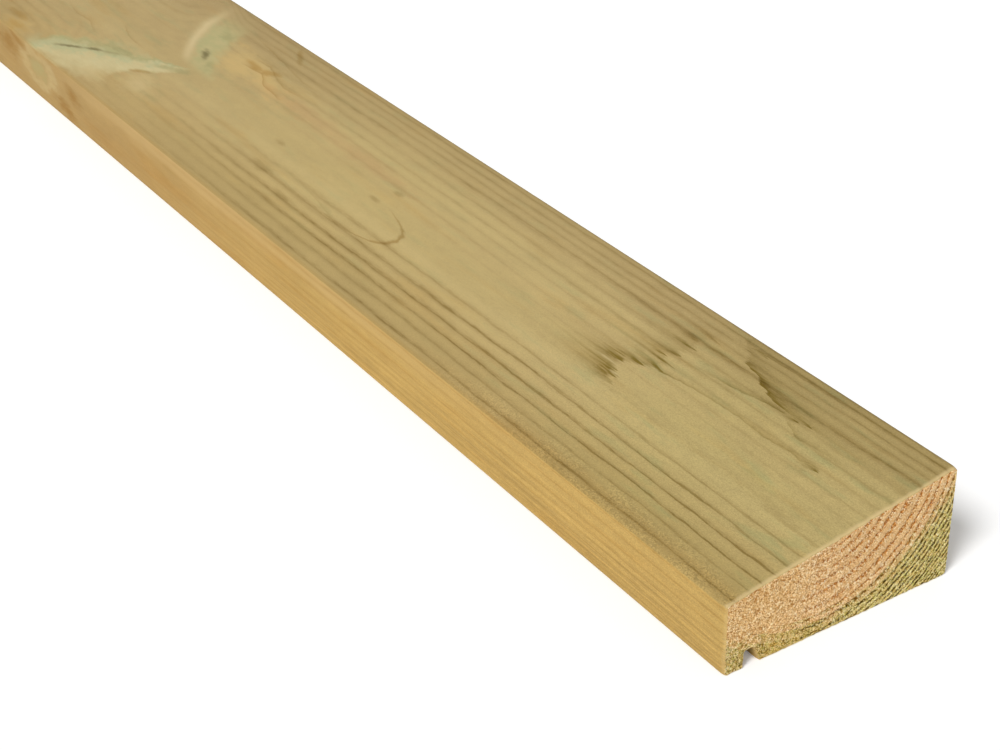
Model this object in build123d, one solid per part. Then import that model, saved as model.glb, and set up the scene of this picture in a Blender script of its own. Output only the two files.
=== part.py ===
from build123d import *
import os

# Timber drip board: one planed length of softwood with a weathered (sloping) top
# and a drip groove run along the underside, just behind the nose.
# X runs along the grain, the nose faces -Y, the back faces +Y and Z is up.
# The origin is at mid-length and mid-width, on the underside.

# Stock, in millimetres
board_length = 1800.0
board_width = 98.0
back_height = 45.0
nose_height = 28.7

# Drip groove: an upright wall towards the nose, a narrow ceiling and a sloping inner wall
groove_setback = 8.4
groove_depth = 7.0
groove_ceiling = 3.5
groove_mouth = 6.5

# Eased arrises, each a radius
nose_top_radius = 1.0
nose_bottom_radius = 1.5
back_top_radius = 1.5
back_bottom_radius = 2.0
groove_front_lip_radius = 1.0
groove_root_radius = 1.0
groove_rear_lip_radius = 0.5

# Where the upright faces stand across the width
nose_y = -board_width / 2
back_y = board_width / 2
groove_y = nose_y + groove_setback

# The section's corners in order round the outline, each with the radius it is eased to
section = [
    ((nose_y, 0), nose_bottom_radius),
    ((groove_y, 0), groove_front_lip_radius),
    ((groove_y, groove_depth), groove_root_radius),
    ((groove_y + groove_ceiling, groove_depth), groove_root_radius),
    ((groove_y + groove_mouth, 0), groove_rear_lip_radius),
    ((back_y, 0), back_bottom_radius),
    ((back_y, back_height), back_top_radius),
    ((nose_y, nose_height), nose_top_radius),
]
corners = [corner for corner, radius in section]
radii = [radius for corner, radius in section]

# The planer carries this section along the grain, and the saw cuts both ends square
with BuildPart() as drip_board:
    with BuildSketch(Plane.YZ.offset(-board_length / 2)):
        with BuildLine():
            FilletPolyline(*corners, radius=radii, close=True)
        make_face()
    extrude(amount=board_length)

drip_board.part.label = "drip_board"

os.makedirs("parts", exist_ok=True)
export_step(drip_board.part, "parts/drip_board.step")
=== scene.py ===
import bpy
import math
import numpy as np
from mathutils import Matrix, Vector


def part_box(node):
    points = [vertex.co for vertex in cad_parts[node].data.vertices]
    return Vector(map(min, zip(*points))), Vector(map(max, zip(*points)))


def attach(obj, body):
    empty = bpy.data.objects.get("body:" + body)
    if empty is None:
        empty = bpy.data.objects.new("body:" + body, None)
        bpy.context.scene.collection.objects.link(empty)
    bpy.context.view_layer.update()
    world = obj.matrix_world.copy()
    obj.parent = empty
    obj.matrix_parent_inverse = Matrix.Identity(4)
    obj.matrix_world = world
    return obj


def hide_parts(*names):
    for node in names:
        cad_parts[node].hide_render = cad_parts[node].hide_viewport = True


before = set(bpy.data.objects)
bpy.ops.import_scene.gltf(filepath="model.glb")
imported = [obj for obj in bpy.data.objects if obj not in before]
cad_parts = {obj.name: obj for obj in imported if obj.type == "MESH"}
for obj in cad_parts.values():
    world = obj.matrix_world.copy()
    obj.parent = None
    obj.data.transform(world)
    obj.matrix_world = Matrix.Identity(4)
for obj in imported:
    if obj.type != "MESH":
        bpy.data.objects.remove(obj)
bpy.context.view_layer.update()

# Board, shape of the stock.
# One length of pressure-treated pine, planed to a section with a sloping top, eased arrises
# and a drip groove under the nose, then cross-cut square at both ends with a coarse saw.
mm = 0.001
low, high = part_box("drip_board")
near_end, far_end = high.x, low.x
nose_y, back_y = low.y, high.y
board_length = near_end - far_end
back_height = 45.0 * mm
nose_height = 28.7 * mm
groove_setback, groove_depth = 8.4 * mm, 7.0 * mm
groove_ceiling, groove_mouth = 3.5 * mm, 6.5 * mm
groove_y = nose_y + groove_setback

section = [
    ((nose_y, 0.0), 1.5 * mm),
    ((groove_y, 0.0), 1.0 * mm),
    ((groove_y, groove_depth), 1.0 * mm),
    ((groove_y + groove_ceiling, groove_depth), 1.0 * mm),
    ((groove_y + groove_mouth, 0.0), 0.5 * mm),
    ((back_y, 0.0), 2.0 * mm),
    ((back_y, back_height), 1.5 * mm),
    ((nose_y, nose_height), 1.0 * mm),
]
nose_foot, front_lip, front_root, rear_root, rear_lip, back_foot, back_brow, nose_brow = range(8)


def eased_outline(corners, step):
    """The closed section as points a step apart, in order round it, with 1 for each point on an arc and 0 for
    the others, and the number of the point in the middle of each corner. A corner of turn a and radius r is
    an arc that starts r tan(a/2) before it."""
    place = np.array([corner for corner, radius in corners])
    radius = np.array([radius for corner, radius in corners])
    going = np.roll(place, -1, axis=0) - place
    going /= np.linalg.norm(going, axis=1)[:, None]
    coming = np.roll(going, 1, axis=0)
    turn = np.arctan2(coming[:, 0] * going[:, 1] - coming[:, 1] * going[:, 0], (coming * going).sum(axis=1))
    setback = radius * np.tan(np.abs(turn) / 2)
    inward = np.sign(turn)[:, None] * np.stack([-coming[:, 1], coming[:, 0]], axis=1)
    start = place - setback[:, None] * coming
    finish = place + setback[:, None] * going
    points, middles, arcs = [], [], []
    for k in range(len(corners)):
        bend = np.linspace(0, turn[k], max(8, int(radius[k] * abs(turn[k]) / step)))[:, None]
        cos, sin = np.cos(bend), np.sin(bend)
        out = -inward[k] * radius[k]
        spun = np.hstack([out[0] * cos - out[1] * sin, out[0] * sin + out[1] * cos])
        arc = start[k] + inward[k] * radius[k] + spun
        run = start[(k + 1) % len(corners)] - finish[k]
        steps = max(2, int(np.linalg.norm(run) / step))
        straight = finish[k] + run * np.linspace(0, 1, steps, endpoint=False)[1:, None]
        middles.append(sum(len(p) for p in points) + len(arc) // 2)
        arcs.append(np.concatenate([np.ones(len(arc)), np.zeros(len(straight))]))
        points.append(np.concatenate([arc, straight]))
    return np.concatenate(points), np.concatenate(arcs), middles


dense, on_arc, middle_of = eased_outline(section, 0.02 * mm)
flat_spacing, arc_spacing = 0.55 * mm, 0.16 * mm
across_count, upright_count = 208, 84
coarse_every = 4

# The outline is walked from the middle of the nose's foot, with closer points on the arcs than on the flats
dense = np.roll(dense, -middle_of[nose_foot], axis=0)
on_arc = np.roll(on_arc, -middle_of[nose_foot])
middle_of = [(m - middle_of[nose_foot]) % len(dense) for m in middle_of]
closed = np.vstack([dense, dense[:1]])
step_length = np.linalg.norm(np.diff(closed, axis=0), axis=1)
arc_length = np.concatenate([[0.0], np.cumsum(step_length)])
effort = np.concatenate([[0.0], np.cumsum(step_length / np.where(on_arc > 0, arc_spacing, flat_spacing))])


def along_outline(length):
    """Points of the outline at these arc lengths from the middle of the nose's foot."""
    return np.stack([np.interp(length, arc_length, closed[:, k]) for k in range(2)], axis=-1)


def even_walk(first, last, count):
    """Arc lengths of count steps of equal effort from one place on the outline to another."""
    return np.interp(np.linspace(effort[first], effort[last], count + 1), effort, arc_length)


# Underside and back are walked evenly. The top's points are set against the underside's, so that the columns
# of the end face lean away from the groove's two walls and never cross.
under_walk = even_walk(middle_of[nose_foot], middle_of[back_foot], across_count)
back_walk = even_walk(middle_of[back_foot], middle_of[back_brow], upright_count)
nose_walk = even_walk(middle_of[nose_brow], len(dense), upright_count)
foot_corners = (nose_foot, front_lip, front_root, rear_root, rear_lip, back_foot)
column_anchor = arc_length[[middle_of[k] for k in foot_corners]]
brow_start, brow_end = arc_length[middle_of[nose_brow]], arc_length[middle_of[back_brow]]
column_lean = 2.0 * mm
top_anchor = brow_start - np.array([
    0, groove_setback - 3 * column_lean, groove_setback - column_lean,
    groove_setback + groove_ceiling + column_lean, groove_setback + groove_mouth + 2 * column_lean,
    brow_start - brow_end])
top_walk = np.interp(under_walk, column_anchor, top_anchor)[::-1]
loop_length = np.concatenate([under_walk[:-1], back_walk[:-1], top_walk[:-1], nose_walk])
loop = along_outline(loop_length)
loop[-1] = loop[0]
ahead = np.roll(loop[:-1], -1, axis=0) - np.roll(loop[:-1], 1, axis=0)
ahead /= np.linalg.norm(ahead, axis=1)[:, None]
loop_out = np.vstack([np.stack([ahead[:, 1], -ahead[:, 0]], axis=1)] * 2)[: len(loop)]

# Board, growth of the timber.
# A flat-sawn plank: the pith ran above the sloping top, so the yearly rings cut the top as long lines on
# both sides of a pale middle, and cut the ends as arcs. Branches grew out in whorls and left the knots.
pith_y, pith_z = nose_y + 38.6 * mm, 59.7 * mm
ring_edges = mm * np.array([
    12.0, 18.0, 22.0, 24.6, 26.7, 29.6, 33.5, 37.4, 41.7, 47.0, 51.0, 54.1, 57.9, 60.6, 62.8, 65.0,
    67.0, 69.0, 70.9, 72.7, 74.4, 76.0, 77.4, 78.7, 80.0, 81.2, 82.4, 83.6, 84.8, 86.0,
])
# The heartwood's edge, in degrees round the pith from straight down and mm out from it
heart_angle = [-38, -25, -6, 14, 34, 47, 71]
heart_radius = [60.0, 56.2, 53.2, 54.2, 55.9, 56.5, 62.9]

# How far the rings stray in slow and in quick lumps along the stem, and how far a branch draws them out
slow_length, slow_stray = 0.40, 0.8 * mm
quick_length, quick_stray = 0.07, 0.22 * mm
branch_pull, branch_reach = 9.0 * mm, 1.7
plain_length = 0.25

# Each branch is a list of stations: back from the near end, across from the nose, height, and radius, in mm
branches = [
    [(486, 50, 36, 3), (520, 38, 34, 6), (556, 20, 28, 9), (592, -7, 16, 12)],
    [(484, 48, 36, 3), (500, 60, 37, 5), (523, 78, 40, 7), (550, 102, 42, 9)],
    [(1052, 44, 44, 4), (1066, 42, 22, 7), (1082, 40, -6, 9)],
    [(1064, 50, 38, 2.5), (1086, 70, 39, 4.5), (1112, 103, 41, 6.5)],
    [(1588, 44, 36, 2.5), (1614, 26, 32, 4.5), (1640, -6, 24, 6.5)],
]


def lattice_noise(first, second, seed):
    """Smooth noise from -1 to 1 over two coordinates: a seeded random number on each point of a unit lattice,
    eased between the four points round a place."""
    table = np.random.default_rng(seed).permutation(256)
    places = np.stack([first, second])
    cell = np.floor(places).astype(int)
    part = places - cell
    part = part * part * (3 - 2 * part)
    total = 0
    for corner in np.ndindex(2, 2):
        key, weight = 0, 1.0
        for k in range(2):
            key = table[(key + cell[k] + corner[k]) % 256]
            weight = weight * (part[k] if corner[k] else 1 - part[k])
        total = total + weight * (table[key] / 127.5 - 1)
    return total


def branch_distance(x, y, z):
    """How far each place is from the nearest branch's axis, in that branch's own radii there, up to nine."""
    place = np.stack([(near_end - x) / mm, (y - nose_y) / mm, z / mm], axis=-1)
    nearest = np.full(x.shape, 9.0)
    for branch in branches:
        station = np.array(branch, float)
        for start, end in zip(station[:-1], station[1:]):
            axis = end[:3] - start[:3]
            share = np.clip(((place - start[:3]) @ axis) / (axis @ axis), 0, 1)
            offset = place - start[:3] - share[..., None] * axis
            radius = start[3] + share * (end[3] - start[3])
            distance = np.linalg.norm(offset, axis=-1) / radius
            nearest = np.minimum(nearest, distance)
    return nearest


def growth(x, y, z):
    """Distance from the pith in metres as the tree grew, and the angle round the pith from straight down. The
    plain distance strays in slow and quick lumps, and less is counted close to a branch."""
    back = near_end - x
    over, under = y - pith_y, pith_z - z
    angle = np.arctan2(over, under)
    slow = lattice_noise(back / slow_length, angle * 1.3, 3)
    quick = lattice_noise(back / quick_length, angle * 4.0, 4)
    drawn = branch_pull * np.exp(-((branch_distance(x, y, z) / branch_reach) ** 2))
    fade_in = np.clip(back / plain_length, 0, 1)
    return np.hypot(over, under) + slow_stray * slow * fade_in + quick_stray * quick - drawn, angle


def ring_number(radius):
    """Years of growth at a radius: whole numbers at the ring edges, and even steps between two of them."""
    return np.interp(radius, ring_edges, np.arange(len(ring_edges)))


# Board, mesh.
# The planed section is carried along the grain in rows: fine rows at the sawn ends, where the arrises are
# slightly furred, and longer ones between. Each end is a grid stretched between its outline's four sides.
edge_rows = np.array([0.0, 0.35, 0.8, 1.5, 2.6, 4.0]) * mm
first_row = 0.006
row_reach = np.array([first_row, 0.17, 0.44, 0.62, 1.16, board_length - first_row])
row_spacing = np.array([2.6, 5.5, 3.0, 10.0, 10.0]) * mm
rows_back = np.concatenate([
    np.linspace(start, end, int((end - start) / gap), endpoint=False)
    for start, end, gap in zip(row_reach[:-1], row_reach[1:], row_spacing)
] + [row_reach[-1:]])
near_seed, far_seed = 11, 31
bend_power = 16
sharp_angle = math.radians(55)

# The four sides of the section, as stretches of the walk round it
under_part = slice(0, across_count + 1)
back_part = slice(across_count, across_count + upright_count + 1)
top_part = slice(across_count + upright_count, 2 * across_count + upright_count + 1)
nose_part = slice(2 * across_count + upright_count, None)


def sawn_depth(y, z, seed):
    """How deep the saw tore the end grain at each place, in metres: soft early wood just outside each ring
    edge is dug out, most where the rings lie across the cut, and the whole face is finely pitted."""
    radius, angle = growth(np.full(y.shape, near_end), y, z)
    share = ring_number(radius) % 1
    across_cut = np.clip(0.25 + 1.2 * np.sin(angle + 0.1), 0.12, 1)
    dug = np.exp(-((share / 0.22) ** 2)) * across_cut
    pits = lattice_noise(y / (1.1 * mm), z / (1.1 * mm), seed)
    tears = lattice_noise(angle * 90, radius / (4 * mm), seed + 1)
    patches = lattice_noise(y / (7 * mm), z / (7 * mm), seed + 2)
    return mm * (0.26 * dug + 0.10 * (1 + pits) + 0.07 * (1 + tears) + 0.06 * (1 + patches))


def end_edge_rows(end_x, inward, seed):
    """The fine rows next to one sawn end, outermost first. The arris is rounded over by a fine, uneven
    amount, most on the top and the nose, that dies away along the grain. The outermost row follows the
    torn face."""
    y, z = loop[:, 0], loop[:, 1]
    depth = sawn_depth(y, z, seed)
    depth[-1] = depth[0]
    furred = lattice_noise(loop_length / (3 * mm), loop_length / (0.9 * mm), seed + 3)
    furred[-1] = furred[0]
    handled = np.clip(loop_out[:, 1], 0, 1) + np.clip(-loop_out[:, 0], 0, 1)
    worn = mm * (0.30 + 0.35 * np.minimum(handled, 1) + 0.10 * furred)
    fade = np.exp(-edge_rows / (0.75 * mm))[:, None]
    x = end_x + inward * (edge_rows[:, None] + depth * np.exp(-edge_rows / (1.5 * mm))[:, None])
    pulled = loop[None] - (worn * fade)[..., None] * loop_out[None]
    return np.concatenate([x[..., None], pulled], axis=-1)


def end_grid(edge, end_x, inward, seed):
    """The end face as a grid of straight columns from its underside up to its top, at the saw's depth. Close
    to the nose and the back the columns take up those edges' own bend, by a share that dies away quickly."""
    under, back = edge[under_part], edge[back_part]
    top, nose = edge[top_part][::-1], edge[nose_part][::-1]
    u = np.linspace(0, 1, across_count + 1)[:, None, None]
    v = np.linspace(0, 1, upright_count + 1)[None, :, None]
    column = (1 - v) * under[:, None] + v * top[:, None]
    by_nose, by_back = (1 - u) ** bend_power, u ** bend_power
    grid = column + by_nose * (nose[None] - column[:1]) + by_back * (back[None] - column[-1:])
    torn = end_x + inward * sawn_depth(grid[..., 1], grid[..., 2], seed)
    grid[1:-1, 1:-1, 0] = torn[1:-1, 1:-1]
    return grid


near_rows = end_edge_rows(near_end, -1, near_seed)
far_rows = end_edge_rows(far_end, 1, far_seed)
coarse_loop = loop[::coarse_every]
middle_x = (near_end - rows_back)[:, None] * np.ones(len(coarse_loop))
middle_section = np.broadcast_to(coarse_loop, (len(rows_back), *coarse_loop.shape))
middle_rows = np.concatenate([middle_x[..., None], middle_section], axis=-1)
near_grid = end_grid(near_rows[0], near_end, -1, near_seed)
far_grid = end_grid(far_rows[0], far_end, 1, far_seed)

# Every block of places is kept with its seam doubled, so that the map of the surface can be cut there, and
# each place then points to the vertex that it shares with its neighbours
blocks = [near_rows, middle_rows, far_rows, near_grid, far_grid]
first_of = np.concatenate([[0], np.cumsum([b.shape[0] * b.shape[1] for b in blocks])])
index = [np.arange(b.shape[0] * b.shape[1]).reshape(b.shape[:2]) + f for b, f in zip(blocks, first_of)]
shared = np.arange(first_of[-1])
for rows in index[:3]:
    shared[rows[:, -1]] = rows[:, 0]
for rows, grid in ((index[0], index[3]), (index[2], index[4])):
    edge = shared[rows[0]]
    shared[grid[:, 0]] = edge[under_part]
    shared[grid[-1]] = edge[back_part]
    shared[grid[::-1, -1]] = edge[top_part]
    shared[grid[0, ::-1]] = edge[nose_part]


def row_faces(rows):
    """Quads between neighbouring rows that run from the near end back, facing out of the section."""
    return np.stack([rows[1:, :-1], rows[1:, 1:], rows[:-1, 1:], rows[:-1, :-1]], axis=-1).reshape(-1, 4)


def joining_faces(fine, coarse, flip):
    """Triangles between a fine row and a coarse one that has every fourth of its points."""
    a, b = coarse[:-1], coarse[1:]
    f = [fine[k::coarse_every][: len(a)] for k in range(coarse_every + 1)]
    corners = [(a, f[1], f[0]), (a, f[2], f[1]), (a, b, f[2]), (b, f[3], f[2]), (b, f[4], f[3])]
    faces = np.concatenate([np.stack(c, axis=-1) for c in corners])
    return faces[:, ::-1] if flip else faces


def grid_faces(grid, flip):
    """Quads of an end grid, facing along +X, or along -X where flipped."""
    faces = np.stack([grid[:-1, :-1], grid[1:, :-1], grid[1:, 1:], grid[:-1, 1:]], axis=-1).reshape(-1, 4)
    return faces[:, ::-1] if flip else faces


planed_faces = [
    row_faces(index[0]), row_faces(index[1]), row_faces(index[2][::-1]),
    joining_faces(index[0][-1], index[1][0], False), joining_faces(index[2][-1], index[1][-1], True)]
sawn_faces = [grid_faces(index[3], False), grid_faces(index[4], True)]
face_list = [face for block in planed_faces + sawn_faces for face in block.tolist()]
corner_place = np.concatenate([block.ravel() for block in planed_faces + sawn_faces])
face_finish = np.repeat([0, 1], [sum(map(len, planed_faces)), sum(map(len, sawn_faces))])
place = np.concatenate([b.reshape(-1, 3) for b in blocks])
kept, vertex_of = np.unique(shared, return_inverse=True)
vertex = place[kept]

board_mesh = bpy.data.meshes.new("drip_board_timber")
board_mesh.from_pydata(vertex.tolist(), [], [vertex_of[face].tolist() for face in face_list])
board_mesh.polygons.foreach_set("material_index", face_finish)
board_mesh.polygons.foreach_set("use_smooth", np.ones(len(face_list), bool))
board_mesh.set_sharp_from_angle(angle=sharp_angle)
board = bpy.data.objects.new("drip_board_timber", board_mesh)
bpy.context.scene.collection.objects.link(board)

# Board, map of its surface.
# The four planed sides are unrolled in strips with the grain along the map, and the two sawn ends lie side by
# side above them.
strip_top, end_bottom, margin = 0.80, 0.82, 0.004
map_u = [np.broadcast_to((near_end - b[..., :1, 0]) / board_length, b.shape[:2]) for b in blocks[:3]]
loop_share = loop_length / arc_length[-1]
row_shares = (loop_share, loop_share[::coarse_every], loop_share)
map_v = [np.broadcast_to(share, b.shape[:2]) for share, b in zip(row_shares, blocks[:3])]
strip = np.concatenate([np.stack([u, v], axis=-1).reshape(-1, 2) for u, v in zip(map_u, map_v)])
strip = margin + strip * np.array([1 - 2 * margin, strip_top - 2 * margin])
end_size = np.array([0.48, 1 - end_bottom - margin])
end_faces = [
    (grid[..., 1:] - [nose_y, 0]) / [back_y - nose_y, back_height] * end_size + [left, end_bottom]
    for grid, left in ((near_grid, margin), (far_grid, 0.5 + margin))]
surface_map = np.concatenate([strip] + [face.reshape(-1, 2) for face in end_faces])
map_layer = board_mesh.uv_layers.new(name="OFBake")
map_layer.uv.foreach_set("vector", surface_map[corner_place].astype(np.float32).ravel())

# Board, what the timber carries.
# Every place on the board keeps how the tree grew there: the year of its ring, its distance and direction
# from the pith, how far out in the sapwood it lies, and how close to a branch.


def carry(name, values):
    """Gives each vertex of the board a number for the finish to read."""
    board_mesh.attributes.new(name, "FLOAT", "POINT").data.foreach_set("value", values.astype(np.float32))


radius, angle = growth(*vertex.T)
carry("ring", ring_number(radius))
carry("radius", radius / mm)
carry("angle", angle)
carry("sap", radius / mm - np.interp(np.degrees(angle), heart_angle, heart_radius))
carry("knot", branch_distance(*vertex.T))

# Board, planed finish.
# The knives leave the grain to show: pale early wood, a dark line of late wood at the end of each year, and
# fine fibres along the board. The treatment turned the top olive, and the nose kept more honey colour.


def srgb(red, green, blue):
    """A colour read as eight-bit screen values, as the linear values that the shader takes."""
    share = np.array([red, green, blue]) / 255
    linear = np.where(share <= 0.04045, share / 12.92, ((share + 0.055) / 1.055) ** 2.4)
    return (*linear.tolist(), 1.0)


class Field:
    """A number or colour that varies over a finish. Sums, products and the like are fields again."""

    def __init__(self, finish, socket):
        self.finish, self.socket = finish, socket

    def __add__(self, other):
        return self.finish.math("ADD", self, other)

    def __sub__(self, other):
        return self.finish.math("SUBTRACT", self, other)

    def __rsub__(self, other):
        return self.finish.math("SUBTRACT", other, self)

    def __mul__(self, other):
        return self.finish.math("MULTIPLY", self, other)

    def __truediv__(self, other):
        return self.finish.math("DIVIDE", self, other)

    def __abs__(self):
        return self.finish.math("ABSOLUTE", self)

    def scaled(self, factor, offset):
        """The field times a factor, plus an offset."""
        return self.finish.math("MULTIPLY_ADD", self, factor, offset)

    def step(self, start, end):
        """0 before start and 1 after end, eased between; start may be the larger."""
        inputs = {
            "Value": self, "From Min": min(start, end), "From Max": max(start, end),
            "To Min": float(start > end), "To Max": float(start < end)}
        node = self.finish.add("ShaderNodeMapRange", {"interpolation_type": "SMOOTHSTEP"}, inputs)
        return Field(self.finish, node.outputs["Result"])

    def bell(self, reach):
        """1 at nothing and dying away on both sides as exp(-(field / reach) squared)."""
        share = self / reach
        return self.finish.math("EXPONENT", share * share * -1.0)

    def fade(self, reach):
        """1 up to nothing, and past it dying away as exp(-field / reach)."""
        return self.finish.math("EXPONENT", self.finish.most(self, 0.0) / reach * -1.0)

    def follow(self, points):
        """The height of a bent line at this value: straight from point to point, level beyond its ends."""
        places, heights = np.array(points, float).T
        foot, rise = heights.min(), np.ptp(heights)
        inputs = {"Value": self, "From Min": places[0], "From Max": places[-1]}
        share = self.finish.add("ShaderNodeMapRange", {}, inputs).outputs["Result"]
        node = self.finish.add("ShaderNodeFloatCurve", {}, {"Value": share})
        bend = node.mapping.curves[0].points
        stations = np.stack([(places - places[0]) / np.ptp(places), (heights - foot) / rise], axis=1)
        for station in stations[1:-1].tolist():
            bend.new(*station)
        bend[0].location, bend[len(stations) - 1].location = stations[0], stations[-1]
        for point in bend:
            point.handle_type = "VECTOR"
        node.mapping.update()
        return Field(self.finish, node.outputs[0]).scaled(rise, foot)

    def ramp(self, stops):
        """Colours or numbers set at places from 0 to 1, and blended between them."""
        node = self.finish.add("ShaderNodeValToRGB", {}, {"Fac": self})
        elements = node.color_ramp.elements
        while len(elements) < len(stops):
            elements.new(0.5)
        for element, (place, colour) in zip(elements, stops):
            element.position = place
            element.color = srgb(*colour) if isinstance(colour, tuple) else (colour, colour, colour, 1.0)
        return Field(self.finish, node.outputs["Color"])


class Finish:
    """A material in the making. Most methods add a node and give back the field that it makes. They take
    numbers, colours as eight-bit screen values, sockets or fields."""

    def __init__(self, name):
        self.material = bpy.data.materials.new(name)
        self.material.use_nodes = True
        self.tree = self.material.node_tree
        self.shader = self.tree.nodes["Principled BSDF"]
        coordinates = self.add("ShaderNodeTexCoord", {}, {})
        self.place, self.facing = coordinates.outputs["Object"], coordinates.outputs["Normal"]
        self.colour = None

    def add(self, kind, settings, inputs):
        node = self.tree.nodes.new(kind)
        for name, value in settings.items():
            setattr(node, name, value)
        for name, value in inputs.items():
            self.join(node.inputs[name], value)
        return node

    def join(self, socket, value):
        value = value.socket if isinstance(value, Field) else value
        if isinstance(value, bpy.types.NodeSocket):
            self.tree.links.new(value, socket)
        else:
            socket.default_value = srgb(*value) if socket.type == "RGBA" else value

    def dress(self, inputs, relief, strength, depth):
        """Gives the shader its colour, these inputs and a fine relief."""
        bump = self.add("ShaderNodeBump", {}, {"Height": relief, "Strength": strength, "Distance": depth})
        for name, value in {"Base Color": self.colour, "Normal": bump.outputs[0], **inputs}.items():
            self.join(self.shader.inputs[name], value)

    def read(self, name):
        return Field(self, self.add("ShaderNodeAttribute", {"attribute_name": name}, {}).outputs["Fac"])

    def parts(self, vector):
        return [Field(self, part) for part in self.add("ShaderNodeSeparateXYZ", {}, {0: vector}).outputs]

    def math(self, operation, *values):
        node = self.add("ShaderNodeMath", {"operation": operation}, dict(enumerate(values)))
        return Field(self, node.outputs[0])

    def most(self, first, *others):
        for other in others:
            first = self.math("MAXIMUM", first, other)
        return first

    def noise(self, along, across, detail, seed, place=None):
        """Noise about 0, mostly within -1 and 1. Its lumps have this size in mm along and across the grain,
        or in the units of the place that is given."""
        unit = mm if place is None else 1.0
        scale = [1 / (length * unit) for length in (along, across, across)]
        moved = (seed * 7.3, seed * 3.1, seed * 5.7)
        inputs = {0: place or self.place, 1: scale, 2: moved}
        stretched = self.add("ShaderNodeVectorMath", {"operation": "MULTIPLY_ADD"}, inputs)
        inputs = {"Vector": stretched.outputs[0], "Scale": 1.0, "Detail": detail, "Roughness": 0.55}
        node = self.add("ShaderNodeTexNoise", {"noise_dimensions": "3D"}, inputs)
        return Field(self, node.outputs[0]).scaled(4.0, -2.0)

    def grains(self, size, seed):
        """A different number from -1 to 1 in each of many small cells of this size in mm."""
        moved = self.add("ShaderNodeVectorMath", {"operation": "ADD"}, {0: self.place, 1: (seed, seed, seed)})
        inputs = {"Vector": moved.outputs[0], "Scale": 1 / (size * mm)}
        cell = self.add("ShaderNodeTexVoronoi", {"voronoi_dimensions": "3D"}, inputs)
        return self.parts(cell.outputs["Color"])[0].scaled(2.0, -1.0)

    def mix(self, share, first, second, blend="MIX"):
        """The first colour with the second blended in by this share."""
        settings = {"data_type": "RGBA", "blend_type": blend, "clamp_factor": True}
        node = self.add("ShaderNodeMix", settings, {0: share, 6: first, 7: second})
        return Field(self, node.outputs[2])

    def lifted(self, colour, amount):
        """The colour made lighter or darker by the share amount."""
        inputs = {0: colour, "Scale": amount + 1.0}
        return Field(self, self.add("ShaderNodeVectorMath", {"operation": "SCALE"}, inputs).outputs[0])

    def paint(self, share, shade, blend="MIX"):
        """Blends a shade into the finish's own colour by this share."""
        self.colour = self.mix(share, self.colour, shade, blend)

    def tint(self, share, shade):
        """Lays a filter of this shade over the finish's own colour by this share."""
        self.paint(share, shade, "MULTIPLY")

    def lift(self, amount):
        """Makes the finish's own colour lighter or darker by the share amount."""
        self.colour = self.lifted(self.colour, amount)


planed = Finish("planed_treated_pine")
side_x, side_y, side_z = planed.parts(planed.place)
facing_y, facing_z = planed.parts(planed.facing)[1:]
back = side_x.scaled(-1 / mm, near_end / mm)
across = side_y.scaled(1 / mm, -nose_y / mm)
upright = side_z / mm
width_mm = (back_y - nose_y) / mm
arris = upright.step(27.5, 28.3) * across.step(3, 1)
on_top = planed.most(facing_z.step(0.62, 0.82), arris)
on_nose = facing_y.step(-0.55, -0.75) * (1.0 - arris)
on_back = facing_y.step(0.55, 0.75)

# Years of growth, with the small waves that a planed line has. Lines further back are softer
wander = planed.noise(110, 7, 2, 1) * 0.07
wobble = planed.noise(24, 4, 2, 2) * 0.085
ripple = planed.noise(5, 0.8, 2, 3) * 0.05
share = planed.math("FRACT", planed.read("ring") + wander + wobble + ripple)
crisp_late = share.ramp([
    (0, 0.3), (0.05, 0.08), (0.3, 0), (0.66, 0.06), (0.84, 0.36), (0.91, 1), (0.975, 1), (1, 0.45)])
soft_late = share.ramp([
    (0, 0.75), (0.12, 0.36), (0.3, 0.08), (0.5, 0.05), (0.7, 0.35), (0.86, 0.85), (0.93, 1), (1, 0.8)])
softness = planed.most(across.step(48, 72) * 0.8, back.step(60, 320) * 0.9, across.step(9, 6) * 0.3)
late_shape = planed.mix(softness, crisp_late, soft_late)
late_across = across.follow([
    (0, 0.5), (3, 0.85), (6, 0.55), (9.6, 0.55), (14.6, 1), (19.7, 1), (26.2, 0.9), (31, 0.6),
    (37, 0.42), (43, 0.12), (55, 0.18), (60, 0.3), (65, 0.3), (70.5, 0.55), (76, 0.4), (81.5, 0.85),
    (86, 0.5), (89.5, 0.6), (93.5, 0.75), (98, 0.8)])
front_along = back.follow([
    (0, 1), (180, 0.95), (300, 0.85), (400, 0.4), (480, 0.15), (560, 0.15), (640, 0.3), (900, 0.8)])
rear_along = back.follow([
    (0, 1), (120, 0.95), (240, 0.75), (400, 0.6), (500, 0.4), (640, 0.35), (900, 0.8)])
late_along = planed.mix(across.step(40, 60), front_along, rear_along)
late_slow = planed.noise(70, 4, 2, 4) * 0.3
late_quick = planed.noise(11, 2, 2, 14) * 0.3
late_run = late_slow + late_quick + ripple * 5.0 + 0.95
by_knot = planed.read("knot").bell(2.0)
late = late_shape * late_across * late_along * late_run * by_knot.scaled(-0.7, 1.0)

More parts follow.
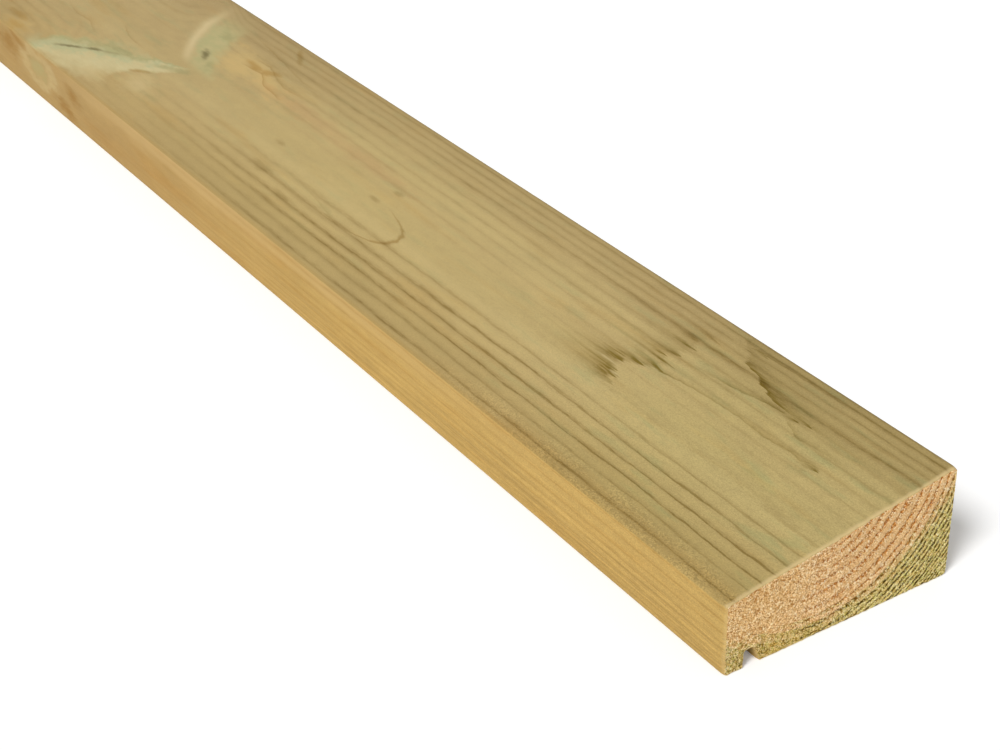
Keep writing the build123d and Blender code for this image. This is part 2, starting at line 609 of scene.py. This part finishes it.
# Early wood on each face
top_early = (across / width_mm).ramp([
    (0, (180, 156, 103)), (0.12, (181, 157, 103)), (0.22, (188, 164, 110)), (0.38, (193, 171, 117)),
    (0.48, (189, 167, 113)), (0.58, (189, 166, 113)), (0.72, (190, 168, 115)), (0.82, (183, 160, 109)),
    (0.92, (180, 157, 107)), (1, (175, 152, 102))])
nose_early = planed.mix(back.step(220, 480), (192, 159, 93), (178, 146, 90))
under_early, back_early = (186, 166, 110), (184, 162, 107)
planed.colour = planed.mix(on_top, under_early, top_early)
planed.paint(on_nose, nose_early)
planed.paint(on_back, back_early)
planed.tint(back.step(150, 70) * on_top, (247, 249, 243))
planed.tint(across.step(58, 90) * back.step(240, 20) * on_top, (250, 249, 246))
planed.tint(back.step(300, 560) * on_top, (242, 240, 245))
far_pale = back.step(380, 500) * across.step(32, 16) * back.step(700, 560) * on_top
planed.lift(far_pale * 0.11)

# Clouds of the treatment, fibres and fuzz. The knives left the near stretch roughest, most along the front
grit_run = back.follow([(0, 1), (110, 0.85), (200, 0.45), (330, 0.28), (620, 0.28), (900, 0.8)])
cloud = planed.noise(38, 11, 3, 5)
patch = planed.noise(9, 4, 2, 6)
mint_run = back.follow([(0, 1), (110, 0.8), (240, 0.35), (440, 0.45), (520, 0.7), (700, 0.4)])
mint = planed.noise(26, 5, 3, 7).step(0.1, 0.9) * mint_run * across.step(5, 14)
planed.tint(mint * on_top, (239, 251, 253))
warm = planed.noise(60, 8, 3, 8).step(0.1, 1.0)
planed.tint(warm * 0.65, (253, 245, 232))
streak = planed.noise(70, 0.9, 3, 9)
stroke = planed.noise(8, 0.8, 3, 10)
felt = planed.noise(4.0, 1.7, 2, 13)
grit = planed.noise(0.75, 0.3, 2, 11)
planed.lift(
    cloud * 0.045 + patch * 0.026 + streak * grit_run * 0.03 + felt * grit_run * 0.027
    + stroke * grit_run * 0.045 + grit * grit_run * 0.2)
rough_strip = across.step(15, 5) * back.step(260, 60) * on_top
fuzz = (grit + stroke * 0.5).step(-0.1, 1.0) * rough_strip
planed.tint(fuzz * 0.7, (206, 194, 168))
planed.tint(rough_strip * across.step(9, 4) * 0.45, (255, 243, 228))
salt = planed.grains(0.5, 0.019)
planed.lift(rough_strip * (salt * patch.step(-1.2, 0.5)).scaled(0.26, 0.06))
nose_lines = (
    planed.noise(90, 1.6, 2, 12) * 0.7 + planed.noise(70, 0.55, 2, 15)
    + planed.noise(6, 0.4, 2, 16) * 0.7)
nose_run = back.follow([(0, 0.15), (150, 0.13), (250, 0.09), (400, 0.03), (620, 0.025), (900, 0.06)])
nose_low = upright.follow([(0, 1.25), (11, 1.05), (17, 0.5), (29, 0.35)])
planed.lift(nose_lines * on_nose * nose_run * nose_low)
nose_tone = upright.follow([(0, -0.05), (8, -0.045), (20, 0.03), (29, 0.05)])
planed.lift(nose_tone * on_nose * back.step(360, 160))
pale_run = back.follow([
    (90, 0), (200, 0.5), (260, 0.9), (310, 0.7), (380, 1), (460, 1), (530, 0.5), (560, 0)])
nose_pale = (upright + cloud * 1.6).step(18.5, 24.5) * pale_run * on_nose
planed.paint(nose_pale * 0.6, (199, 168, 113))

# Late wood
planed.tint(late, planed.mix(on_top, (228, 216, 190), (196, 187, 164)))

# Board, tide marks.
# Damp crept in along the grain from the sawn end and dried in two ragged brown fronts on the top: pointed
# strokes along the grain at the first, a wedge with one crisp side at the second, and thin lines beside them.
mottled = planed.noise(7, 2.2, 3, 23)
jagged_back = planed.noise(30, 0.8, 3, 21).scaled(2.8, back)


def strokes(marks):
    """Darkness of strokes along the grain. Each is given by its near tip and its far end, in mm back and
    across, its half width and depth. It is pointed and crisp at the near tip, and dies away beyond."""
    darkest = 0.0
    for near, near_aside, far, far_aside, width, depth in marks:
        length = far - near
        run = jagged_back.scaled(1 / length, -near / length)
        over = run.scaled(near_aside - far_aside, across)
        over = over.scaled(1 / width, -near_aside / width)
        taper = {"Value": run, "From Max": 0.45, "To Min": 0.12}
        over = abs(over) / planed.add("ShaderNodeMapRange", {}, taper).outputs["Result"]
        shade = over.step(1.6, 0.2) * run.step(-0.5 / length, 1.5 / length)
        shade = shade * planed.math("POWER", 0.14, run) * depth
        darkest = planed.most(darkest, shade)
    return darkest


def run_line(points, depths, width):
    """Darkness of a thin line along the grain: full on the line, crisp towards the nose, soft beyond it."""
    beside = across - back.follow(points) + felt * 0.35
    crisp = planed.math("MINIMUM", beside, 0.0).bell(0.3)
    return crisp * beside.fade(width) * back.follow(depths)


far_front = strokes([
    (126, 48.9, 142, 48.6, 1.4, 0.95), (123.5, 46.6, 146, 46.8, 3.6, 1.1), (121.5, 42.8, 138, 44, 1.6, 0.7),
    (132, 48.9, 166, 49.8, 0.7, 0.8), (128.5, 54.2, 150, 53.2, 2, 1.1), (132, 51.4, 150, 50.9, 0.8, 0.55),
    (130.5, 56.2, 152, 55.6, 0.6, 0.7), (122, 57.6, 141, 57.4, 1.3, 1.1), (114, 59.9, 132, 62, 1.3, 1.15),
    (111, 64.4, 140, 65.2, 0.65, 1), (120.5, 67.3, 138, 66.6, 1, 0.7), (115.5, 70.8, 131, 69.2, 1.2, 1),
    (114.5, 76.7, 136, 76.9, 1, 1.05), (117.5, 81.1, 134, 80.7, 1.4, 0.7),
    (111, 85.1, 129, 86.6, 0.9, 0.7)])
near_front = strokes([
    (49.3, 76.7, 70, 77.9, 1.6, 1.2), (54.6, 75.7, 66, 74.5, 1, 1.2), (30.3, 62.9, 40, 63.5, 1.7, 1.4),
    (35, 65.6, 40, 64.1, 0.5, 0.7), (32.8, 60.3, 40, 59.8, 0.6, 0.5), (44.5, 63.6, 62, 62.4, 1, 0.65),
    (86, 87.6, 99, 88.5, 1.1, 0.65), (91, 92, 106, 91.8, 1, 0.7), (80, 85, 92, 84.6, 0.9, 0.6)])
wedge_edge = across.follow([
    (76.5, 60), (77.3, 69.5), (78.3, 75.1), (80.5, 81.2), (83, 87.1), (84.5, 95.8), (88.2, 97.5),
    (91.5, 104.5), (95, 107)])
past = wedge_edge - jagged_back + mottled * 0.8
wedge_depth = across.follow([(76, 1.25), (82, 1.2), (84.5, 0.95), (87, 0.5), (91, 0.4), (98, 0.15)])
wedge = past.step(-0.7, 1.0) * across.step(76.0, 77.4) * wedge_depth
wedge = wedge * (past.fade(8.0) * 0.5 + past.fade(30.0) * 0.45)
damp_lines = [
    ([(30.4, 62.9), (36.2, 63.8), (39.3, 62.9), (45.4, 63.6), (52.4, 62.8), (58.3, 62.3), (73.3, 63.2),
      (88.5, 62.7), (104.3, 61.3), (114.5, 59.8)],
     [(30, 0), (32, 0.6), (46, 0.7), (58, 0.7), (64, 0.5), (92, 0.6), (104, 0.8), (115, 0.9), (118, 0)], 0.9),
    ([(62, 75.8), (65, 75.4), (70, 75.1), (76.5, 74.4), (83, 72.9), (91.6, 72), (105, 71)],
     [(61, 0), (64, 0.9), (76, 0.8), (92, 0.6), (108, 0)], 1.3),
    ([(33.4, 71.1), (40.6, 70.7), (49, 69.9), (52.7, 71), (56.6, 72.5), (61.5, 74.6)],
     [(24, 0), (34, 0.35), (44, 0.6), (52, 0.55), (57, 0.5), (62, 0)], 1.2),
    ([(49, 93.5), (64, 93), (81, 93.2), (99, 92.4), (104.5, 91.3)],
     [(40, 0), (50, 0.35), (80, 0.5), (98, 0.85), (107, 0)], 1),
]
lines = planed.most(*[run_line(*line) for line in damp_lines]) * (mottled * 0.3 + 0.8)
broken = mottled * 0.25 + stroke * 0.45 + 0.95
stain = planed.most(planed.most(far_front, near_front, wedge) * broken, lines)
haze_edge = across.follow([
    (41, 128), (46, 124), (50, 130), (54, 129), (57, 123), (60, 116), (64, 115), (67, 121), (71, 117),
    (77, 116), (81, 118), (90, 112)])
haze_past = jagged_back - haze_edge
haze_depth = across.follow([
    (39, 0), (44, 0.5), (50, 0.62), (56, 0.6), (62, 0.44), (72, 0.38), (82, 0.3), (92, 0)])
haze = haze_past.step(-1.0, 4.0) * haze_past.fade(13.0) * haze_depth
stain = (stain + haze * broken) * on_top
planed.tint(stain, (170, 160, 104))

# Board, knots.
# Two branches of one whorl run out through the top, one to the nose and one to the back. Their wood is pale
# and took the treatment green, with bark caught in dark slits, a cream flank and honey-coloured grain by it.
mottle = planed.noise(9, 4, 3, 31)
sway = planed.noise(14, 6, 3, 32) * 4.0
branch_middle = back.follow([
    (484, 43.5), (495, 37), (508, 31), (514, 26.5), (526, 20.5), (550, 14), (562, 11), (576, 7), (584, 1)])
branch_half = back.follow([
    (478, 1), (484, 2), (495, 4.5), (508, 6.5), (514, 9.5), (526, 13), (550, 13), (562, 12), (584, 7)])
branch_side = (across - branch_middle + sway) / branch_half
branch_span = back.step(480, 496) * back.step(596, 576) * on_top
in_branch = abs(branch_side).step(1.5, 0.4) * branch_span
green_from = back.follow([(490, 0.45), (530, 0.45), (550, 0.15), (566, -0.2), (580, -0.3)])
greenness = branch_side - green_from + mottle * 0.45
branch_wood = planed.mix(greenness.step(-0.45, 0.3), (202, 188, 141), (183, 180, 136))
branch_wood = planed.lifted(branch_wood, (patch + stroke) * 0.03)
planed.paint(in_branch * (mottle * 0.15 + 0.85), branch_wood)
green_edge = (branch_side - 0.9 + mottle * 0.3).bell(0.22) * branch_span
planed.paint(green_edge * 0.55, (163, 157, 108))

flank_back = across.follow([
    (46, 489), (53.3, 499), (61, 508.5), (67.5, 514.5), (75.7, 520), (84, 522.5), (98, 526)])
beside_flank = back - flank_back
flank_run = across.follow([(47, 0), (52, 0.7), (60, 1), (76, 1), (85, 0.55), (91, 0.15), (98, 0)])
hollow = (beside_flank + 15.0) / 13.0 + mottle * 0.3
green_run = across.follow([(46, 0), (51, 0.8), (60, 1), (78, 0.9), (88, 0.15), (98, 0)])
in_hollow = abs(hollow).step(1.35, 0.5) * green_run * on_top
hollow_wood = planed.mix(mottle.step(-0.6, 0.7), (174, 170, 121), (186, 175, 126))
planed.paint(in_hollow * 0.8, hollow_wood)
cream = (beside_flank + mottle * 0.6 - 2.4).bell(4.6) * flank_run * on_top
planed.paint(cream * 0.75, (210, 190, 143))


def spots(places, aside_value=across, face=on_top):
    """Nearness to small marks on one face: 1 in the middle and 0 from the rim, for places given as back,
    aside, half length and half width in mm and a lean, the share of the way along that a mark moves aside."""
    nearest = 9.0
    for along, aside, length, width, lean in places:
        ahead = back - along
        over = aside_value - aside - ahead * lean
        ahead, over = ahead / length, over / width
        nearest = planed.math("MINIMUM", nearest, ahead * ahead + over * over)
    ragged = planed.math("SQRT", nearest) + mottle * 0.35 + stroke * 0.25
    return ragged.step(1.35, 0.1) * face


marks = [
    # Bark, and the slits that it lies in
    ([(561, 14.4, 8, 1.5, -0.5), (547.5, 21.2, 7, 1.4, -0.42), (492, 59, 6, 2.7, 0.4)],
     0.85, (112, 102, 66), "MIX"),
    ([(554, 18, 16, 1.6, -0.5), (537, 25.5, 11, 1.4, -0.4)], 0.45, (142, 134, 92), "MIX"),
    # Green and honey patches, a faint blush and brown grain
    ([(500, 76, 7, 3, 0), (480, 55, 6, 3, 0.3), (534, 30.5, 12, 2.2, -0.2), (486, 42, 7, 3, -0.4),
      (497, 38, 9, 2, -0.4)], 0.5, (152, 147, 100), "MIX"),
    ([(466, 65, 22, 9, 0), (448, 68, 40, 7, 0.2), (612, 4, 16, 7, 0)], 0.75, (201, 172, 114), "MIX"),
    ([(400, 64, 45, 6, 0), (340, 62, 50, 4.5, 0)], 0.8, (255, 244, 244), "MULTIPLY"),
    ([(459, 70, 10, 2.4, 0.1), (446, 72, 8, 3, -0.3), (449, 90, 9, 2.2, 0.5), (502, 28.6, 9, 1.8, -0.52),
      (612, 4, 14, 4, 0), (622, 10, 12, 3, 0)], 0.65, (221, 204, 166), "MULTIPLY"),
]
for places, strength, shade, blend in marks:
    planed.paint(spots(places) * strength, shade, blend)
wavy_lines = [
    ([(420, 62), (424, 62.8), (438, 63.5), (449, 68.7), (462, 67.5)],
     [(416, 0), (424, 0.8), (450, 0.9), (462, 0.7), (470, 0)], 1.3),
    ([(412, 70), (426, 69), (438, 71), (452, 75), (466, 74)],
     [(410, 0), (426, 0.6), (452, 0.8), (468, 0)], 1.2),
    ([(400, 79), (424, 78), (446, 81), (470, 84), (490, 86)],
     [(400, 0), (430, 0.5), (470, 0.6), (492, 0)], 1),
    ([(526, 40), (540, 40.2), (546, 40.8), (552, 42.5), (560, 45)],
     [(524, 0), (534, 0.5), (552, 0.6), (562, 0)], 0.9),
    ([(566, 30), (580, 34), (596, 33), (614, 36)], [(560, 0), (576, 0.5), (600, 0.5), (616, 0)], 1.1),
]
wavy = planed.most(*[run_line(*line) for line in wavy_lines])
planed.tint(wavy * on_top * 0.7, (214, 200, 168))
pale_patch = spots([
    (492, 21, 14, 7, 0), (520, 9, 14, 5, 0), (135.5, 51, 7, 0.5, 0), (126.5, 47.4, 3, 0.4, 0)])
planed.paint(pale_patch * 0.5, (204, 184, 134))
smudge = spots([
    (369, 26.5, 10, 3.2, 0), (339, 20.4, 8, 2, 0), (299, 57.2, 4, 1.4, 0), (304, 47.7, 5, 1.4, 0),
    (381, 42.7, 5, 1.8, 0)])
planed.tint(smudge * 0.38, (192, 182, 150))

# One ring shows further back as a small hook, with a faint wavy arm that runs on behind it
hook_back = across.follow([
    (26, 297), (27, 286), (29, 276), (32.5, 269), (36.5, 267), (41, 268.5), (43.2, 272), (46, 282),
    (48, 291)])
hook_depth = across.follow([(25.5, 0), (27, 0.6), (30, 0.9), (36, 1), (43, 0.9), (46, 0.6), (48.5, 0)])
hook = (back - hook_back + felt * 0.9).bell(1.5)
arm = run_line(
    [(290, 25.8), (300, 25.6), (312, 28), (326, 30), (340, 31.5), (352, 34)],
    [(286, 0), (294, 0.6), (330, 0.4), (352, 0)], 1)
ring_hook = planed.most(hook * hook_depth, arm * 0.6) * on_top
planed.tint(ring_hook * 0.8, (206, 190, 158))

# Where the front branch comes out on the nose: a pale ring round greenish wood, and brown grain beside it
planed.tint(back.step(430, 540) * on_nose, (249, 251, 255))
knot_back = (back - 574.0 + mottle * 5.0) / 22.0
knot_up = (upright - 17.5 + mottle * 1.5) / 9.5
knot_gap = planed.math("SQRT", knot_back * knot_back + knot_up * knot_up) + patch * 0.16
knot_core = knot_gap.step(0.75, 0.2) * on_nose
planed.paint(knot_core * 0.8, (173, 158, 106))
knot_halo = (knot_gap - 0.85).bell(0.32) * (mottled * 0.2 + 0.7) * on_nose
planed.paint(knot_halo * 0.8, (194, 172, 122))
nose_brown = spots(
    [(529, 17.5, 11, 4.5, 0.25), (540, 7, 14, 4, 0.2), (614, 19, 14, 7, 0), (600, 25, 16, 3, 0.2)],
    upright, on_nose)
planed.tint(nose_brown * 0.75, (226, 206, 166))
nose_dull = spots([(470, 8, 70, 7, 0), (225, 17, 30, 3, 0), (330, 21, 40, 2.4, 0)], upright, on_nose)
planed.tint(nose_dull * 0.25, (240, 226, 204))
nose_warm = planed.noise(70, 9, 2, 33).step(0.0, 0.9) * back.step(180, 330)
planed.tint(nose_warm * on_nose * 0.5, (247, 236, 214))

# Board, worn edges.
# The planed arrises are darkened by handling, and the fibres at the two sawn ends are furred and paler.
by_nose = across.bell(1.0) * back.step(30, 120)
by_back = (across - width_mm).bell(1.6)
planed.tint(planed.most(by_nose, by_back) * on_top, (238, 233, 222))
to_end = board_length / 2 - abs(side_x)
rim = (to_end + grit * (0.3 * mm) + patch * (0.45 * mm)).step(2.0 * mm, 0.6 * mm)
planed.paint(rim * on_top.scaled(0.5, 0.2), (212, 186, 136))
rough = streak * 0.05 - late * 0.06 + rough_strip * 0.08 + 0.74
relief = stroke * 0.3 + grit * 0.4 + late * 0.5 + fuzz * 0.8
planed.dress({"Roughness": rough, "Specular IOR Level": 0.1}, relief, 0.45, 0.12 * mm)

# Board, sawn finish.
# The saw tore the soft early wood of each year out of the ends, and left the late wood as smooth pink bands.
# Inside it is warm heartwood; the outer years are sapwood that took up the green treatment.
sawn = Finish("sawn_treated_pine")
sawn_angle, sawn_radius, sawn_sap = sawn.read("angle"), sawn.read("radius"), sawn.read("sap")
polar = sawn.add("ShaderNodeCombineXYZ", {}, {0: sawn_angle * 50.0, 1: sawn_radius}).outputs[0]
to_right = sawn_angle.step(-0.1, 0.65)
from_left = sawn_angle.step(-0.45, 0.05)
ragged = sawn.noise(1.4, 0.6, 3, 42, polar)
bent = sawn.noise(5.0, 1.5, 2, 48, polar)
share = sawn.math("FRACT", sawn.read("ring") + ragged * 0.1 + bent * 0.12)

# The treatment went in further along the soft early wood, so the sapwood's edge is mixed with the years
early = share.ramp([(0, 1), (0.3, 0.7), (0.6, 0), (0.9, 0), (1, 1)])
uneven = sawn.noise(5.0, 5.0, 3, 41) * 2.6
in_sap = (sawn_sap + uneven + early.scaled(3.0, -1.2)).step(-3.5, 4.0)

# Torn gaps at the start of each year, broken along their length, and the smooth late wood
heart_torn = share.ramp([(0, 0.8), (0.05, 1), (0.24, 0.9), (0.38, 0), (0.94, 0), (1, 0.5)])
sap_torn = share.ramp([(0, 0.9), (0.08, 1), (0.36, 0.95), (0.52, 0), (0.92, 0), (1, 0.7)])
held = from_left * 0.75 + to_right * 0.25 - 0.7
torn_run = (sawn.noise(2.2, 1.0, 3, 43, polar) + held).step(-0.1, 0.35)
torn = sawn.mix(in_sap, heart_torn, sap_torn) * torn_run
smooth_late = share.ramp([(0, 0), (0.36, 0), (0.58, 1), (0.95, 1), (1, 0.2)])
smooth_late = smooth_late * to_right.scaled(0.8, 0.1)

# Broken fibre ends: pale tufts and dark holes, from clumps of a millimetre down to single bundles of fibres
# Partly their own colour and partly painted: painted shade in the holes and painted glints on the tufts
clump = sawn.noise(1.0, 1.2, 2, 44, polar)
fleck = sawn.grains(0.34, 0.011)
crumb = sawn.grains(0.7, 0.023)
speck = (clump * 0.26 + fleck * 1.05 + crumb * 0.4) * smooth_late.scaled(-0.25, 1.0)
patch = sawn.noise(6.0, 5.0, 2, 45)
radial = sawn.noise(0.7, 3.0, 2, 46, polar).step(0.25, 0.7)
lump = sawn.noise(1.0, 0.8, 2, 47, polar).step(0.05, 0.5)
tuft = sawn.most(radial, lump * early) * (clump + fleck).step(-0.6, 0.5) * from_left

# From painted shade in the holes to painted glints, over the wood's own light and dark fibres
pit_shade_to_glint = speck.scaled(0.5, 0.5)
heart = pit_shade_to_glint.ramp([
    (0, (164, 106, 50)), (0.25, (198, 147, 85)), (0.5, (226, 183, 124)), (0.75, (245, 209, 154)),
    (1, (255, 238, 200))])
sapwood = pit_shade_to_glint.ramp([
    (0, (100, 86, 34)), (0.25, (164, 145, 78)), (0.5, (214, 196, 124)), (0.75, (242, 228, 170)),
    (1, (255, 248, 220))])
heart = sawn.mix(smooth_late * 0.5, heart, (230, 190, 142))
sapwood = sawn.mix(smooth_late * 0.4, sapwood, (224, 207, 144))
sawn.colour = sawn.lifted(sawn.mix(in_sap, heart, sapwood), patch.scaled(0.05, 0.05))
# Painted shade: the torn gaps take darker colours, partly the torn wood's own and partly shade in the hollows
torn_heart_shaded = pit_shade_to_glint.ramp([(0.2, (156, 88, 26)), (0.8, (222, 152, 72))])
torn_sap_shaded = pit_shade_to_glint.ramp([(0.2, (56, 42, 0)), (0.9, (122, 98, 0))])
sawn.paint(torn, sawn.mix(in_sap, torn_heart_shaded, torn_sap_shaded))
sawn.tint(sawn_angle.step(0.5, -0.2) * in_sap, (236, 224, 204))
sap_early = (early * 0.7 + 0.3) * in_sap * sawn_angle.step(-0.5, -0.3)
sawn.tint(sap_early, (254, 245, 206))
sawn.tint(sawn_angle.step(0.05, -0.35) * (1.0 - in_sap), (249, 248, 241))
sawn.tint(to_right, (252, 251, 245))
tone = sawn.noise(2.4, 1.6, 2, 49) + sawn.grains(0.55, 0.037) * 0.7
warm_filter = sawn.mix(in_sap, (255, 243, 226), (255, 238, 214))
sawn.tint(tone.step(0.0, 1.2), warm_filter)
sawn.tint(tone.step(0.0, -1.2) * in_sap, (240, 252, 222))
# The tufts are painted pale: partly the fibres' own colour, partly painted glints
pale_fibre_and_glint = sawn.mix(in_sap, (255, 236, 196), (255, 243, 184))
sawn.paint(tuft * 0.9, pale_fibre_and_glint)
relief = speck * 0.7 - torn + tuft * 0.5
sawn.dress({"Roughness": 0.85, "Specular IOR Level": 0.08}, relief, 0.65, 0.34 * mm)

board_mesh.materials.append(planed.material)
board_mesh.materials.append(sawn.material)
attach(board, "root")
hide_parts("drip_board")

# Floor.
# A plain pale sheet under the board that keeps the board's shadow. It is lifted to white only where it is
# seen or mirrored, so it adds no light of its own.
floor_half = 6.0
floor_mesh = bpy.data.meshes.new("floor")
floor_corners = [(x * floor_half, y * floor_half, 0) for x, y in ((-1, -1), (1, -1), (1, 1), (-1, 1))]
floor_mesh.from_pydata(floor_corners, [], [(0, 1, 2, 3)])
floor = bpy.data.objects.new("floor", floor_mesh)
bpy.context.scene.collection.objects.link(floor)
paper = Finish("floor_paper")
paper_inputs = {
    "Base Color": (0.97, 0.97, 0.97, 1), "Roughness": 0.9, "Specular IOR Level": 0.0,
    "Emission Color": (1, 1, 1, 1)}
for name, value in paper_inputs.items():
    paper.shader.inputs[name].default_value = value
eye = paper.add("ShaderNodeLightPath", {}, {})
white_rays = ["Is Camera Ray", "Is Glossy Ray", "Is Transmission Ray"]
seen = paper.most(*[eye.outputs[ray] for ray in white_rays])
paper.join(paper.shader.inputs["Emission Strength"], seen * 0.13)
floor_mesh.materials.append(paper.material)

# Light and camera.
# A white tent all round, a broad lamp from the nose side and a weak one from beyond the near end, and a long
# lens looking down along the board.
world = bpy.data.worlds.new("studio")
world.use_nodes = True
bpy.context.scene.world = world
tent_light = 0.28
sky = world.node_tree
background = sky.nodes["Background"]
path = sky.nodes.new("ShaderNodeLightPath")
white_to = path.outputs[white_rays[0]]
for ray in white_rays[1:]:
    either = sky.nodes.new("ShaderNodeMath")
    either.operation = "MAXIMUM"
    sky.links.new(white_to, either.inputs[0])
    sky.links.new(path.outputs[ray], either.inputs[1])
    white_to = either.outputs[0]
level = sky.nodes.new("ShaderNodeMapRange")
level.inputs["To Min"].default_value = tent_light
level.inputs["To Max"].default_value = 1.0
sky.links.new(white_to, level.inputs["Value"])
sky.links.new(level.outputs["Result"], background.inputs["Strength"])
background.inputs["Color"].default_value = (1, 1, 1, 1)


def looking(back, roll, place):
    """The matrix of a lamp or camera at a place, its back along this direction, level but for the roll."""
    back = np.array(back) / np.linalg.norm(back)
    right = np.cross([0, 0, 1], back)
    right /= np.linalg.norm(right)
    up = np.cross(back, right)
    spun_right = right * math.cos(roll) + up * math.sin(roll)
    spun_up = up * math.cos(roll) - right * math.sin(roll)
    columns = np.eye(4)
    columns[:3] = np.stack([spun_right, spun_up, back, place], axis=1)
    return Matrix(columns.tolist())


lamps = {"broad_lamp": (2.45, 18, (0.45, -1.0, 1.3)), "fill_lamp": (0.45, 60, (1.0, -0.2, 0.5))}
for name, (strength, spread, lamp_from) in lamps.items():
    lamp_data = bpy.data.lights.new(name, "SUN")
    lamp_data.energy = strength
    lamp_data.angle = math.radians(spread)
    lamp = bpy.data.objects.new(name, lamp_data)
    lamp.matrix_world = looking(lamp_from, 0.0, lamp_from)
    bpy.context.scene.collection.objects.link(lamp)

camera_data = bpy.data.cameras.new("camera")
camera_data.sensor_width = 36.0
camera_data.lens = 72.851
camera = bpy.data.objects.new("camera", camera_data)
azimuth, elevation, roll = math.radians(57.491), math.radians(31.167), math.radians(-1.260)
camera_back = [
    math.sin(azimuth) * math.cos(elevation), -math.cos(azimuth) * math.cos(elevation), math.sin(elevation)]
camera.matrix_world = looking(camera_back, roll, [1.29179, -0.38196, 0.42456])
bpy.context.scene.collection.objects.link(camera)
bpy.context.scene.camera = camera
bpy.context.scene.view_settings.view_transform = "Standard"
